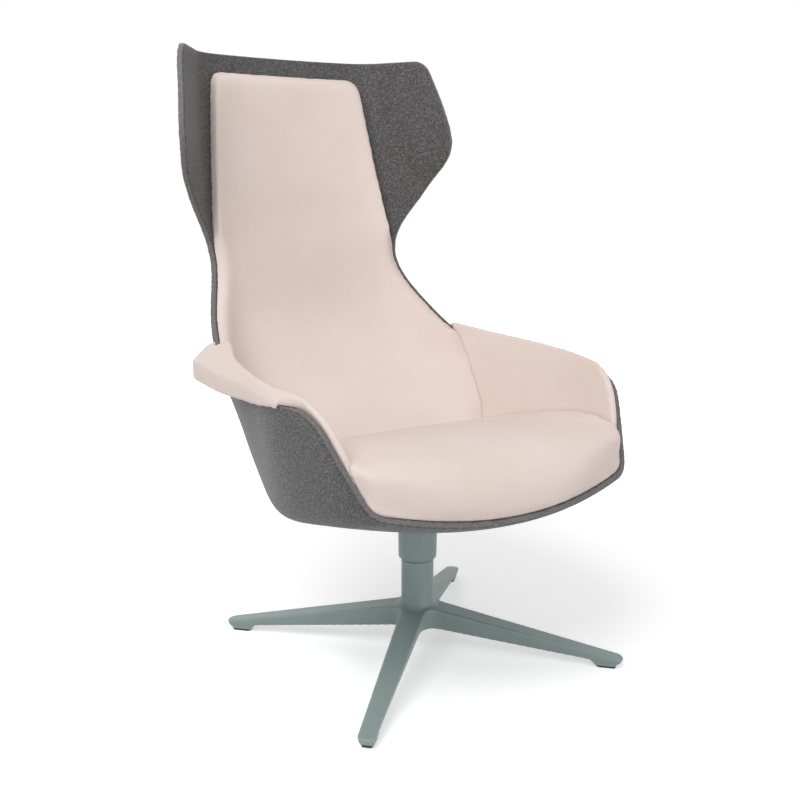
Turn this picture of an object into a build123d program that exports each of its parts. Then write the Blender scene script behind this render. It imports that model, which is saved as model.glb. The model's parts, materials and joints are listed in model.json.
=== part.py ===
from build123d import *
from collections import namedtuple
from math import acos, atan2, cos, degrees, radians, sin, tan
import os

# Acoustic high back lounge chair: a moulded felt shell with loose pads, on a swivel column and a
# four-leg cast base. Millimetres. The sitter faces -Y, +Z is up, X runs across the chair. The
# origin is on the floor, midway between the foremost and the rearmost point of the chair.

# ---------------------------------------------------------------- overall places
shell_front = 324           # foremost point of the shell, ahead of the swivel axis
shell_back = 578            # rearmost point of the shell, behind the swivel axis
swivel_y = (shell_front - shell_back) / 2
far_out = 800               # half size of the blocks that trim a part to its outline
gap = 0.4                   # clearance between parts that lie on each other

# ---------------------------------------------------------------- felt shell
felt = 13                   # thickness of the moulded felt
top_corner = 42             # rounding of the wing's top corner

# The shell is drawn as ribs, each square to its spine. A rib starts at the spine (y from the
# swivel axis, z from the floor), leans by tilt (0 = level, 90 = upright across the seat), runs
# out as a slightly crowned floor of half width floor, turns through the bend to the flare angle
# and ends in a straight flank. Pad, side and turn belong to the back pad: its thickness at the
# spine, its thickness along the flank and the bend of its front face.
Rib = namedtuple("Rib", "tilt y z floor crown bend flare flank pad side turn")
seat_ribs = [
    Rib(tilt=104, y=-425, z=379, floor=200, crown=25, bend=47, flare=75, flank=158, pad=72, side=30, turn=25),
    Rib(tilt=99, y=-302, z=340, floor=240, crown=20, bend=46, flare=79, flank=180, pad=72, side=30, turn=25),
    Rib(tilt=92, y=-186, z=314, floor=261, crown=14, bend=46, flare=79, flank=200, pad=72, side=30, turn=25),
    Rib(tilt=83, y=-72, z=303, floor=265, crown=8.5, bend=45, flare=79, flank=217, pad=72, side=30, turn=40),
    Rib(tilt=74, y=34, z=296, floor=253, crown=5, bend=44, flare=77, flank=228, pad=72, side=30, turn=60),
]
back_ribs = [
    Rib(tilt=64, y=137, z=311, floor=226, crown=4, bend=51, flare=73, flank=227, pad=72, side=28, turn=100),
    Rib(tilt=53, y=238, z=350, floor=198, crown=5, bend=70, flare=68, flank=209, pad=70, side=24, turn=150),
    Rib(tilt=42, y=331, z=406, floor=176, crown=7, bend=93, flare=64, flank=175, pad=66, side=20, turn=170),
    Rib(tilt=30, y=405, z=478, floor=161, crown=9, bend=106, flare=59, flank=135, pad=60, side=18, turn=150),
    Rib(tilt=19, y=457, z=560, floor=153, crown=10, bend=113, flare=55, flank=95, pad=52, side=20, turn=130),
    Rib(tilt=9, y=489, z=643, floor=152, crown=10, bend=117, flare=52, flank=53, pad=42, side=23, turn=100),
    Rib(tilt=3, y=505, z=724, floor=154, crown=9.5, bend=121, flare=49, flank=10, pad=34, side=26, turn=60),
    Rib(tilt=0, y=520, z=800, floor=157, crown=9, bend=130, flare=48, flank=12, pad=28, side=26, turn=88),
    Rib(tilt=0, y=534, z=870, floor=157, crown=9, bend=138, flare=51, flank=57, pad=26, side=26, turn=99),
    Rib(tilt=0, y=545, z=930, floor=157, crown=9, bend=133, flare=55, flank=108, pad=26, side=26, turn=94),
    Rib(tilt=0, y=555, z=985, floor=157, crown=9, bend=124, flare=59, flank=148, pad=26, side=26, turn=85),
    Rib(tilt=0, y=563, z=1040, floor=157, crown=9, bend=118, flare=59, flank=150, pad=26, side=26, turn=79),
    Rib(tilt=0, y=568, z=1075, floor=157, crown=9, bend=115, flare=59, flank=143, pad=26, side=26, turn=76),
    Rib(tilt=0, y=572, z=1110, floor=157, crown=9, bend=112, flare=58, flank=134, pad=26, side=26, turn=73),
    Rib(tilt=0, y=575, z=1143, floor=157, crown=9, bend=110, flare=57, flank=123, pad=26, side=26, turn=71),
    Rib(tilt=0, y=578, z=1176, floor=157, crown=9, bend=107, flare=56, flank=106, pad=26, side=26, turn=68),
]
ribs = seat_ribs + back_ribs

# side view of the rim, (y from the swivel axis, z): from under the nose up to the arm's edge
rim_nose = (-330, 345)
rim_lower_corner = (-279, 394)
rim_upper_corner = (-189, 545)
rim_rear = (100, 549)
rim_lower_round = 40
rim_upper_round = 80

# ---------------------------------------------------------------- back pad and its board
pad_top = 1141              # height of the pad's top edge
pad_top_half = 178          # half width there
pad_corner = 32             # rounding of its top corners
pad_waist = (219, 765)      # half width and height where the pad reaches the felt's edge
pad_hip = (330, 640)
edge_inset = 2              # the pad ends this far inside the felt's edge
pad_gap = 0.8               # clearance of the back pad on the felt
wall_above = 100            # how far the trimming walls go on above the felt's edge
# side view of the seam between back pad and arm pads, (y from the swivel axis, z)
seam = [(340, 640), (270, 591), (223, 545), (176, 487), (127, 419), (108, 340)]

back_board = 5              # thickness of the moulded board behind the back pad
back_board_half = 120
back_board_low = 600
back_board_high = 1100
stud_x = 70
stud_seats = [(477.5, 680), (516.5, 880), (546.5, 1060)]  # y from the swivel axis and z of the heads
stud_diameter = 8
stud_hole = 8.4
stud_length = 12
stud_head_diameter = 18
stud_head = 2

# ---------------------------------------------------------------- seat cushion and its board
seat_board = 10
seat_board_width = 380
seat_board_front = -200     # from the swivel axis
seat_board_rear = 100
seat_board_corner = 40
cushion_front = 324         # how far the cushion's front centre lies ahead of the swivel axis
cushion_corner = (250, 278)  # where the front arc meets the cushion's sides
# side view of the cushion, (y from the swivel axis, z): its front face, then its top line
cushion_nose = [(-321, 356), (-316, 392), (-300, 435), (-270, 462)]
cushion_top = [(-270, 462), (-215, 474), (-50, 458), (60, 431), (165, 396)]
cushion_foot = (120, 300)   # lower end of the line that closes the rear

# ---------------------------------------------------------------- arm pads
# Sections of an arm from the rear to the front: y from the swivel axis, then x of its inner face
# at the foot, x and z of the crest and of the outer edge of the top face, height of the flange's
# lower edge (lip) and x of the middle of the felt at the lip and at the foot.
Arm = namedtuple("Arm", "y foot crest crest_z edge edge_z lip felt_lip felt_foot")
arm_sections = [
    Arm(y=306, foot=200, crest=266, crest_z=602, edge=330, edge_z=564, lip=526, felt_lip=257, felt_foot=210),
    Arm(y=250, foot=208, crest=273, crest_z=600, edge=337, edge_z=564, lip=526, felt_lip=282, felt_foot=232),
    Arm(y=180, foot=216, crest=297, crest_z=592, edge=342, edge_z=561, lip=526, felt_lip=305, felt_foot=256),
    Arm(y=90, foot=240, crest=319, crest_z=585, edge=344, edge_z=559, lip=528, felt_lip=319, felt_foot=279),
    Arm(y=0, foot=256, crest=331, crest_z=579, edge=345, edge_z=557, lip=532, felt_lip=329, felt_foot=299),
    Arm(y=-60, foot=262, crest=332, crest_z=574, edge=345, edge_z=552, lip=536, felt_lip=334, felt_foot=303),
    Arm(y=-103, foot=262, crest=325, crest_z=570, edge=343, edge_z=549, lip=540, felt_lip=333, felt_foot=302),
    Arm(y=-180, foot=256, crest=305, crest_z=562, edge=336, edge_z=549, lip=540, felt_lip=318, felt_foot=290),
    Arm(y=-262, foot=236, crest=284, crest_z=554, edge=328, edge_z=549, lip=540, felt_lip=294, felt_foot=267),
]
arm_crown = 0.13            # rise of the top face's middle, as a share of its width
arm_step = -103             # the outer flange ends here
# plan line (x, y from the swivel axis) on which the pad's edge crosses the felt's rim; ahead of it
# the rim is bare
rim_crossing = [(338, arm_step), (315, -160)]
# side view of the pad's front end, (y from the swivel axis, z)
arm_nose = [(-100, 574), (-150, 562), (-195, 535), (-222, 500), (-244, 448), (-258, 380)]
arm_foot = 385              # height of the arm pads' lower end, hidden beside the cushion
arm_underside = 500         # the flange lies above this height
arm_board = 4
arm_board_front = -180      # ends of the board, from the swivel axis
arm_board_rear = 90
arm_board_low = 420
arm_board_high = 520

# ---------------------------------------------------------------- swivel column
plate_bottom = 288          # underside of the seat plate, and top of the sleeve
plate_room = 30             # the plate's block before its top is shaped to the felt
plate_side = 210
plate_corner = 30
bolt_spacing = 140
bolt_diameter = 8
bolt_hole = 8.5
bolt_head = 13              # across the flats
bolt_head_height = 5.3
bolt_length = 38
washer_diameter = 18
washer = 1.6
tee_nut_barrel = 11
tee_nut_bore = 8.1
tee_nut_length = 6
tee_nut_flange = 24
tee_nut_flange_thickness = 1.5
tee_nut_rows = [(-70, 325), (70, 320)]  # y from the swivel axis and height of the flange's seat
tee_nut_pocket = 7          # height of the pocket in the cushion above the seat
spindle_diameter = 25
spindle_flange = 56
spindle_flange_thickness = 8
spindle_bottom = 55
running_fit = 0.05          # radial clearance of the spindle in its bushes
bearing_play = 0.1          # axial play of the seat on the column
race_diameter = 50
race = 3
ball = 6
ball_count = 16
ball_circle = 38
ball_pocket = 6.4
cage = 3
cage_bore = 30
cage_diameter = 46
base_column = 63            # diameter of the fixed lower column
base_column_top = 186
spigot = 54                 # reduced end of the base inside the sleeve
spigot_top = plate_bottom - spindle_flange_thickness - bearing_play - 2 * race - ball
column_bore = 32
sleeve_diameter = 77        # at its top
sleeve_rim = 74             # above its chamfer, the sleeve narrows downwards
sleeve_foot = 64            # below its chamfer
sleeve_chamfer = 4          # height of the chamfer
sleeve_bore = 57
sleeve_gap = 1              # between the sleeve and the base's shoulder
bush_length = 30
bush_flange_diameter = 42
bush_flange = 3
recess_diameter = 48        # recess under the hub
recess_top = 64
retainer_diameter = 42
retainer = 2
circlip_diameter = 34
circlip = 1.5
circlip_opening = 9
groove_depth = 1.2
cap = 2
screw_diameter = 6
screw_hole = 6.4
screw_head = 10
screw_head_height = 3.5
screw_length = 11
screw_seat = 291.5          # height of the screws' seats in the seat plate
screw_count = 4
sleeve_screw_circle = 67
spindle_screw_circle = 40

# ---------------------------------------------------------------- star base
hub_bottom = 50
leg_count = 4
leg_first = 45              # direction of the first leg, in degrees from +X
leg_tip = 401               # reach of a leg's top face
leg_root_width = 53         # width of the top face at the axis and at the tip
leg_tip_width = 32
leg_draft = 14              # the legs' sides lean in by this angle from the top face down
leg_top_root = 100          # heights of the top face at the axis and at the tip
leg_top_tip = 20
leg_under_root = 52         # heights of the underside
leg_under_tip = 8
leg_nose = 14               # rounding of the tip seen from above
leg_edge = 3                # rounding of the leg's upper edges
crotch = 21                 # rounding between two legs
flare_foot = (43, 91)       # distance from the axis and height where the column's flare ends
flare_top = 110
flare_round = 20
foot_start = 350            # the foot under the tip stands on this stretch of the leg
foot_end = 388
foot_width = 22
foot_run = 12               # length of the slope from the underside down to the foot
foot_top = 15
nose_top = 18               # height up to which the tip is cut back to the foot
foot_trim = 20              # size of the block that trims the nose
glide = 3
glide_length = 36
glide_width = 20
glide_corner = 5
glide_stem = 8
glide_stem_length = 10


# ---------------------------------------------------------------- planes
def level(z):
    """Horizontal plane centred on the swivel axis."""
    return Plane(origin=(0, swivel_y, z))


def cross(y):
    """Upright plane across the chair, y behind the swivel axis, seen from the front."""
    return Plane(origin=(0, swivel_y + y, 0), x_dir=(1, 0, 0), z_dir=(0, -1, 0))


side = Plane(origin=(0, swivel_y, 0), x_dir=(0, 1, 0), z_dir=(1, 0, 0))
swivel = Axis((0, swivel_y, 0), (0, 0, 1))


def rib_plane(rib):
    lean = radians(rib.tilt)
    return Plane(origin=(0, swivel_y + rib.y, rib.z), x_dir=(1, 0, 0), z_dir=(0, -sin(lean), -cos(lean)))


# ---------------------------------------------------------------- sections
def face_line(rib, depth, bend, flank):
    """Half of a rib's line, from the spine outwards, at a depth inside the outer face."""
    radius = rib.floor / sin(radians(rib.crown)) - depth
    floor = JernArc((0, depth), (1, 0), radius, rib.crown)
    turn = JernArc(floor @ 1, floor % 1, bend, rib.flare - rib.crown)
    return PolarLine(turn @ 1, flank, rib.flare)


def rib_band(rib, near, far, reach=0):
    """Closed section of a layer that lies between two depths inside the outer face."""
    with BuildSketch(rib_plane(rib)) as section:
        with BuildLine():
            outer = face_line(rib, near, rib.bend - near, rib.flank + reach)
            inner = face_line(rib, far, rib.bend - far, rib.flank + reach)
            Line(outer @ 1, inner @ 1)
            mirror(about=Plane.YZ)
        make_face()
    return section.sketch


def pad_line(rib, play, reach):
    """Half of the back pad's front face, from the spine outwards: a wide bend joins floor and flank."""
    flare = radians(rib.flare)
    along = Vector(cos(flare), sin(flare))
    inward = Vector(-sin(flare), cos(flare))
    spine_radius = rib.floor / sin(radians(rib.crown))
    heart = Vector(0, spine_radius)
    shell_crown = radians(rib.crown)
    shell_bend = heart + (spine_radius - rib.bend) * Vector(sin(shell_crown), -cos(shell_crown))
    flank_level = shell_bend.dot(inward) - rib.bend + felt + gap + rib.side + play
    depth = felt + gap + rib.pad + play
    radius = spine_radius - depth
    crown = flare - acos((heart.dot(inward) - flank_level - rib.turn) / (radius - rib.turn))
    pad_bend = heart + (radius - rib.turn) * Vector(sin(crown), -cos(crown))
    flank = shell_bend.dot(along) + rib.flank + reach - pad_bend.dot(along)
    floor = JernArc((0, depth), (1, 0), radius, degrees(crown))
    turn = JernArc(floor @ 1, floor % 1, rib.turn, rib.flare - degrees(crown))
    return PolarLine(turn @ 1, flank, rib.flare)


def pad_band(rib, near, play, reach):
    """Closed section of the back pad, from a depth inside the shell's outer face to its front face."""
    with BuildSketch(rib_plane(rib)) as section:
        with BuildLine():
            outer = face_line(rib, near, rib.bend - near, rib.flank + reach)
            inner = pad_line(rib, play, reach)
            Line(outer @ 1, inner @ 1)
            mirror(about=Plane.YZ)
        make_face()
    return section.sketch


def rib_filling(rib, depth, reach):
    """Everything inside a rib's line at a depth, closed across its ends."""
    with BuildSketch(rib_plane(rib)) as section:
        with BuildLine():
            flank = face_line(rib, depth, rib.bend - depth, rib.flank + reach)
            Line(flank @ 1, (0, (flank @ 1).Y))
            mirror(about=Plane.YZ)
        make_face()
    return section.sketch


def arm_section(arm):
    """Section of the right arm; its outer side runs inside the felt below the flange."""
    middle = Vector(arm.crest + arm.edge, arm.crest_z + arm.edge_z) / 2
    middle += Vector(0, arm_crown * (arm.edge - arm.crest))
    with BuildSketch(cross(arm.y)) as section:
        with BuildLine():
            Polyline(
                (arm.foot, arm_foot), (arm.crest, arm.crest_z), middle, (arm.edge, arm.edge_z),
                (arm.edge, arm.lip), (arm.felt_lip, arm.lip), (arm.felt_foot, arm_foot), close=True,
            )
        make_face()
    return section.sketch


def arm_room_section(arm):
    """What the right arm keeps free of the cushion, from its inner face outwards and downwards."""
    slope = (arm.crest - arm.foot) / (arm.crest_z - arm_foot)
    low_x = arm.foot - slope * arm_foot - gap
    with BuildSketch(cross(arm.y)) as section:
        with BuildLine():
            Polyline((low_x, 0), (arm.crest - gap, arm.crest_z), (far_out, arm.crest_z), (far_out, 0),
                     close=True)
        make_face()
    return section.sketch


def leg_way(index):
    return radians(leg_first + index * 360 / leg_count)


def from_swivel(point):
    """Distance of a point from the swivel axis."""
    return Vector(point.X, point.Y - swivel_y).length


def leg_plane(index):
    """Upright plane along a leg."""
    way = leg_way(index)
    return Plane(origin=(0, swivel_y, 0), x_dir=(cos(way), sin(way), 0), z_dir=(sin(way), -cos(way), 0))


def leg_block(root, tip):
    """Block under the legs' four slopes, which fall from the height root at the axis to tip."""
    fall = atan2(root - tip, leg_tip)
    with BuildPart() as block:
        with BuildSketch(level(-leg_tip)):
            Rectangle(3 * leg_tip, 3 * leg_tip)
        extrude(amount=leg_tip + root)
        for index in range(leg_count):
            way = leg_way(index)
            upright = (sin(fall) * cos(way), sin(fall) * sin(way), cos(fall))
            split(bisect_by=Plane(origin=(0, swivel_y, root), z_dir=upright), keep=Keep.BOTTOM)
    return block.part


def save(part, name):
    part.label = name
    export_step(part, f"parts/{name}.step")


os.makedirs("parts", exist_ok=True)

# ---------------------------------------------------------------- trimming blocks
bare_from = rim_crossing[1][1]   # ahead of this the rim is bare

# everything ahead of and above the rim, seen from the side
with BuildPart() as rim_cutter:
    with BuildSketch(side) as outline:
        with BuildLine():
            Polyline(
                (-far_out, 0), (rim_nose[0] - felt, 0), (rim_nose[0] - felt, rim_nose[1] - felt),
                rim_nose, rim_lower_corner, rim_upper_corner, rim_rear,
                (rim_rear[0], far_out), (-far_out, far_out), close=True,
            )
        make_face()
        fillet(outline.vertices().sort_by_distance((*rim_lower_corner, 0))[0], radius=rim_lower_round)
        fillet(outline.vertices().sort_by_distance((*rim_upper_corner, 0))[0], radius=rim_upper_round)
    extrude(amount=far_out, both=True)

# everything behind the seam between back pad and arm pads, seen from the side
with BuildPart() as seam_back:
    with BuildSketch(side):
        with BuildLine():
            front = Spline(seam)
            Polyline(front @ 1, ((front @ 1).X, 0), (far_out, 0), (far_out, 2 * far_out),
                     (seam[0][0], 2 * far_out), front @ 0)
        make_face()
    extrude(amount=far_out, both=True)

# the inside of the shell, out to the middle of the felt, with walls that go on above the rim
with BuildPart() as hull:
    loft([rib_filling(rib, felt / 2, wall_above) for rib in ribs])

# the felt behind the bare rim with its clearance, as a tool that shapes what lies on it
with BuildPart() as felt_room:
    loft([rib_band(rib, -gap, felt + gap, gap) for rib in ribs])
    add(rim_cutter.part.moved(Location((0, -gap, gap))), mode=Mode.SUBTRACT)
    with BuildSketch(side):
        with Locations((bare_from - far_out / 2, far_out / 2)):
            Rectangle(far_out, far_out)
    extrude(amount=far_out, both=True, mode=Mode.SUBTRACT)

# everything outside the shell below the arm's flange, as far as the arm reaches back
with BuildPart() as under_flange:
    with BuildSketch(side):
        with Locations(((arm_step + far_out) / 2, arm_underside / 2)):
            Rectangle(far_out - arm_step, arm_underside)
    extrude(amount=far_out)
    add(hull.part, mode=Mode.SUBTRACT)

# the room between the felt's inner faces, with clearance and with walls that go on above the rim
with BuildPart() as inner_room:
    loft([rib_filling(rib, felt + gap, wall_above) for rib in ribs])

# everything beside that room where the rim is bare, and beside the line that crosses the rim
with BuildPart() as bare_side:
    with BuildSketch(side):
        with Locations((bare_from - far_out / 2, far_out / 2)):
            Rectangle(far_out, far_out)
    extrude(amount=far_out)
    add(inner_room.part, mode=Mode.SUBTRACT)
    with BuildSketch(level(0)):
        Polygon(*rim_crossing, (far_out, bare_from), (far_out, arm_step), align=None)
    extrude(amount=far_out)

# everything ahead of the arm pads' front end, seen from the side
with BuildPart() as arm_front:
    with BuildSketch(side):
        with BuildLine():
            nose = Spline(arm_nose)
            Polyline(nose @ 1, ((nose @ 1).X, 0), (-far_out, 0), (-far_out, far_out),
                     (arm_nose[0][0], far_out), nose @ 0)
        make_face()
    extrude(amount=far_out)

# ---------------------------------------------------------------- felt shell
with BuildPart() as felt_shell:
    loft([rib_band(rib, 0, felt) for rib in ribs])
    top_edges = felt_shell.faces().sort_by(Axis.Z)[-1].edges().sort_by(Axis.X)
    fillet([top_edges[0], top_edges[-1]], radius=top_corner)
    add(rim_cutter.part, mode=Mode.SUBTRACT)
    with BuildSketch(level(plate_bottom)):
        with GridLocations(bolt_spacing, bolt_spacing, 2, 2):
            Circle(bolt_hole / 2)
    extrude(amount=bolt_length, mode=Mode.SUBTRACT)
    for y, z in stud_seats:
        with BuildSketch(cross(y)):
            with Locations((-stud_x, z), (stud_x, z)):
                Circle(stud_hole / 2)
        extrude(amount=-stud_length - gap, mode=Mode.SUBTRACT)

save(felt_shell.part, "felt_shell")

# ---------------------------------------------------------------- back board and its studs
board_near = felt + gap
back_board_centre = (0, (back_board_low + back_board_high) / 2)
back_board_height = back_board_high - back_board_low

with BuildPart() as back_board_part:
    loft([rib_band(rib, board_near, board_near + back_board, -edge_inset) for rib in ribs])
    with BuildSketch(cross(0)):
        with Locations(back_board_centre):
            RectangleRounded(2 * back_board_half, back_board_height, pad_corner)
    extrude(amount=far_out, both=True, mode=Mode.INTERSECT)
    for y, z in stud_seats:
        with BuildSketch(cross(y)):
            with Locations((-stud_x, z), (stud_x, z)):
                Circle(stud_hole / 2)
        extrude(amount=-stud_length, mode=Mode.SUBTRACT)
        with BuildSketch(cross(y)):
            with Locations((-stud_x, z), (stud_x, z)):
                Circle(stud_head_diameter / 2 + gap)
        extrude(amount=back_board, mode=Mode.SUBTRACT)

save(back_board_part.part, "back_board")

with BuildPart() as back_studs:
    for y, z in stud_seats:
        with BuildSketch(cross(y)):
            with Locations((-stud_x, z), (stud_x, z)):
                Circle(stud_diameter / 2)
        extrude(amount=-stud_length)
        with BuildSketch(cross(y)):
            with Locations((-stud_x, z), (stud_x, z)):
                Circle(stud_head_diameter / 2)
        extrude(amount=stud_head)

save(back_studs.part, "back_studs")

# ---------------------------------------------------------------- back pad
with BuildPart() as back_board_pocket:
    loft([rib_band(rib, felt, board_near + back_board + gap, -edge_inset) for rib in ribs])
    with BuildSketch(cross(0)):
        with Locations(back_board_centre):
            RectangleRounded(2 * (back_board_half + gap), back_board_height + 2 * gap, pad_corner)
    extrude(amount=far_out, both=True, mode=Mode.INTERSECT)

with BuildPart() as pad_outline:
    with BuildSketch(cross(0)) as outline:
        with BuildLine():
            Polyline(
                (-pad_top_half, pad_top), (pad_top_half, pad_top), pad_waist, pad_hip, (pad_hip[0], 0),
                (-pad_hip[0], 0), (-pad_hip[0], pad_hip[1]), (-pad_waist[0], pad_waist[1]), close=True,
            )
        make_face()
        fillet(outline.vertices().group_by(Axis.Y)[-1], radius=pad_corner)
    extrude(amount=far_out, both=True)

with BuildPart() as back_pad:
    loft([pad_band(rib, felt + pad_gap, 0, -edge_inset) for rib in ribs])
    add(pad_outline.part, mode=Mode.INTERSECT)
    add(seam_back.part, mode=Mode.INTERSECT)
    add(back_board_pocket.part, mode=Mode.SUBTRACT)
    for y, z in stud_seats:
        with BuildSketch(cross(y)):
            with Locations((-stud_x, z), (stud_x, z)):
                Circle(stud_head_diameter / 2 + gap)
        extrude(amount=stud_head + gap, mode=Mode.SUBTRACT)

save(back_pad.part, "back_pad")

# ---------------------------------------------------------------- arm pads and their boards
arm_board_centre = ((arm_board_front + arm_board_rear) / 2, (arm_board_low + arm_board_high) / 2)
arm_board_length = arm_board_rear - arm_board_front
arm_board_height = arm_board_high - arm_board_low

with BuildPart() as arm_board_right:
    loft([rib_band(rib, board_near, board_near + arm_board) for rib in ribs])
    with BuildSketch(side):
        with Locations(arm_board_centre):
            Rectangle(arm_board_length, arm_board_height)
    extrude(amount=far_out, mode=Mode.INTERSECT)

with BuildPart() as arm_board_left:
    mirror(arm_board_right.part, about=Plane.YZ)

with BuildPart() as arm_board_pocket:
    loft([rib_band(rib, felt, board_near + arm_board + gap) for rib in ribs])
    with BuildSketch(side):
        with Locations(arm_board_centre):
            Rectangle(arm_board_length + 2 * gap, arm_board_height + 2 * gap)
    extrude(amount=far_out, mode=Mode.INTERSECT)

# the back pad inside the shell, with clearance
with BuildPart() as seam_room:
    add(seam_back.part.moved(Location((0, -gap, 0))))
    add(hull.part, mode=Mode.INTERSECT)

with BuildPart() as arm_pad_right:
    loft([arm_section(arm) for arm in arm_sections])
    add(felt_room.part, mode=Mode.SUBTRACT)
    add(bare_side.part, mode=Mode.SUBTRACT)
    add(under_flange.part, mode=Mode.SUBTRACT)
    add(arm_front.part, mode=Mode.SUBTRACT)
    add(seam_room.part, mode=Mode.SUBTRACT)
    add(arm_board_pocket.part, mode=Mode.SUBTRACT)

with BuildPart() as arm_pad_left:
    mirror(arm_pad_right.part, about=Plane.YZ)

save(arm_board_right.part, "arm_board_right")
save(arm_board_left.part, "arm_board_left")
save(arm_pad_right.part, "arm_pad_right")
save(arm_pad_left.part, "arm_pad_left")

# ---------------------------------------------------------------- seat board and cushion
seat_board_centre = (0, (seat_board_front + seat_board_rear) / 2)
seat_board_depth = seat_board_rear - seat_board_front

with BuildPart() as seat_board_part:
    loft([rib_band(rib, board_near, board_near + seat_board) for rib in ribs])
    with BuildSketch(level(0)):
        with Locations(seat_board_centre):
            RectangleRounded(seat_board_width, seat_board_depth, seat_board_corner)
    extrude(amount=arm_foot, mode=Mode.INTERSECT)
    for y, z in tee_nut_rows:
        with BuildSketch(level(0)):
            with Locations((-bolt_spacing / 2, y), (bolt_spacing / 2, y)):
                Circle(tee_nut_barrel / 2 + gap)
        extrude(amount=arm_foot, mode=Mode.SUBTRACT)
        with BuildSketch(level(z)):
            with Locations((-bolt_spacing / 2, y), (bolt_spacing / 2, y)):
                Circle(tee_nut_flange / 2 + gap)
        extrude(amount=seat_board, mode=Mode.SUBTRACT)

save(seat_board_part.part, "seat_board")

with BuildPart() as seat_board_pocket:
    loft([rib_band(rib, felt, board_near + seat_board + gap) for rib in ribs])
    with BuildSketch(level(0)):
        with Locations(seat_board_centre):
            RectangleRounded(seat_board_width + 2 * gap, seat_board_depth + 2 * gap, seat_board_corner)
    extrude(amount=arm_foot, mode=Mode.INTERSECT)

with BuildPart() as arm_room:
    loft([arm_room_section(arm) for arm in arm_sections])
    add(arm_front.part.moved(Location((0, -gap, 0))), mode=Mode.SUBTRACT)

with BuildPart() as bowl:
    loft([rib_filling(rib, felt + gap, 0) for rib in ribs])

# the back pad's lower end, with clearance
with BuildPart() as back_pad_room:
    loft([pad_band(rib, 0, gap, wall_above) for rib in ribs])
    add(seam_back.part.moved(Location((0, -gap, 0))), mode=Mode.INTERSECT)

with BuildPart() as seat_cushion:
    with BuildSketch(side):
        with BuildLine():
            nose = Spline(cushion_nose)
            top = Spline(cushion_top)
            Polyline(nose @ 0, ((nose @ 0).X, 0), (cushion_foot[0], 0), cushion_foot, top @ 1)
        make_face()
    extrude(amount=far_out, both=True)
    with BuildSketch(level(0)):
        with BuildLine():
            front = ThreePointArc((-cushion_corner[0], -cushion_corner[1]), (0, -cushion_front),
                                  (cushion_corner[0], -cushion_corner[1]))
            Polyline(front @ 1, (far_out, -cushion_corner[1]), (far_out, far_out),
                     (-far_out, far_out), (-far_out, -cushion_corner[1]), front @ 0)
        make_face()
    extrude(amount=far_out, mode=Mode.INTERSECT)
    add(bowl.part, mode=Mode.INTERSECT)
    add(arm_room.part, mode=Mode.SUBTRACT)
    mirror(arm_room.part, about=Plane.YZ, mode=Mode.SUBTRACT)
    add(back_pad_room.part, mode=Mode.SUBTRACT)
    add(seat_board_pocket.part, mode=Mode.SUBTRACT)
    for y, z in tee_nut_rows:
        with BuildSketch(level(z)):
            with Locations((-bolt_spacing / 2, y), (bolt_spacing / 2, y)):
                Circle(tee_nut_flange / 2 + gap)
        extrude(amount=tee_nut_pocket, mode=Mode.SUBTRACT)

save(seat_cushion.part, "seat_cushion")

# ---------------------------------------------------------------- seat plate and its fasteners
with BuildPart() as shell_solid:
    loft([rib_filling(rib, -gap, 0) for rib in ribs])

with BuildPart() as seat_plate:
    with BuildSketch(level(plate_bottom)):
        RectangleRounded(plate_side, plate_side, plate_corner)
    extrude(amount=plate_room)
    add(shell_solid.part, mode=Mode.SUBTRACT)
    with BuildSketch(level(plate_bottom)):
        with GridLocations(bolt_spacing, bolt_spacing, 2, 2):
            Circle(bolt_hole / 2)
        with PolarLocations(sleeve_screw_circle / 2, screw_count, leg_first):
            Circle(screw_hole / 2)
        with PolarLocations(spindle_screw_circle / 2, screw_count):
            Circle(screw_hole / 2)
    extrude(amount=plate_room, mode=Mode.SUBTRACT)
    with BuildSketch(level(screw_seat)):
        with PolarLocations(sleeve_screw_circle / 2, screw_count, leg_first):
            Circle(screw_head / 2 + gap)
        with PolarLocations(spindle_screw_circle / 2, screw_count):
            Circle(screw_head / 2 + gap)
    extrude(amount=plate_room, mode=Mode.SUBTRACT)

save(seat_plate.part, "seat_plate")

with BuildPart() as seat_bolts:
    with BuildSketch(level(plate_bottom - washer)):
        with GridLocations(bolt_spacing, bolt_spacing, 2, 2):
            RegularPolygon(bolt_head / 2, 6, major_radius=False)
    extrude(amount=-bolt_head_height)
    with BuildSketch(level(plate_bottom - washer)):
        with GridLocations(bolt_spacing, bolt_spacing, 2, 2):
            Circle(bolt_diameter / 2)
    extrude(amount=bolt_length)

with BuildPart() as washers:
    with BuildSketch(level(plate_bottom)):
        with GridLocations(bolt_spacing, bolt_spacing, 2, 2):
            Circle(washer_diameter / 2)
            Circle(bolt_hole / 2, mode=Mode.SUBTRACT)
    extrude(amount=-washer)

with BuildPart() as tee_nuts:
    for y, z in tee_nut_rows:
        with BuildSketch(level(z)):
            with Locations((-bolt_spacing / 2, y), (bolt_spacing / 2, y)):
                Circle(tee_nut_flange / 2)
                Circle(tee_nut_bore / 2, mode=Mode.SUBTRACT)
        extrude(amount=tee_nut_flange_thickness)
        with BuildSketch(level(z)):
            with Locations((-bolt_spacing / 2, y), (bolt_spacing / 2, y)):
                Circle(tee_nut_barrel / 2)
                Circle(tee_nut_bore / 2, mode=Mode.SUBTRACT)
        extrude(amount=-tee_nut_length)

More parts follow.
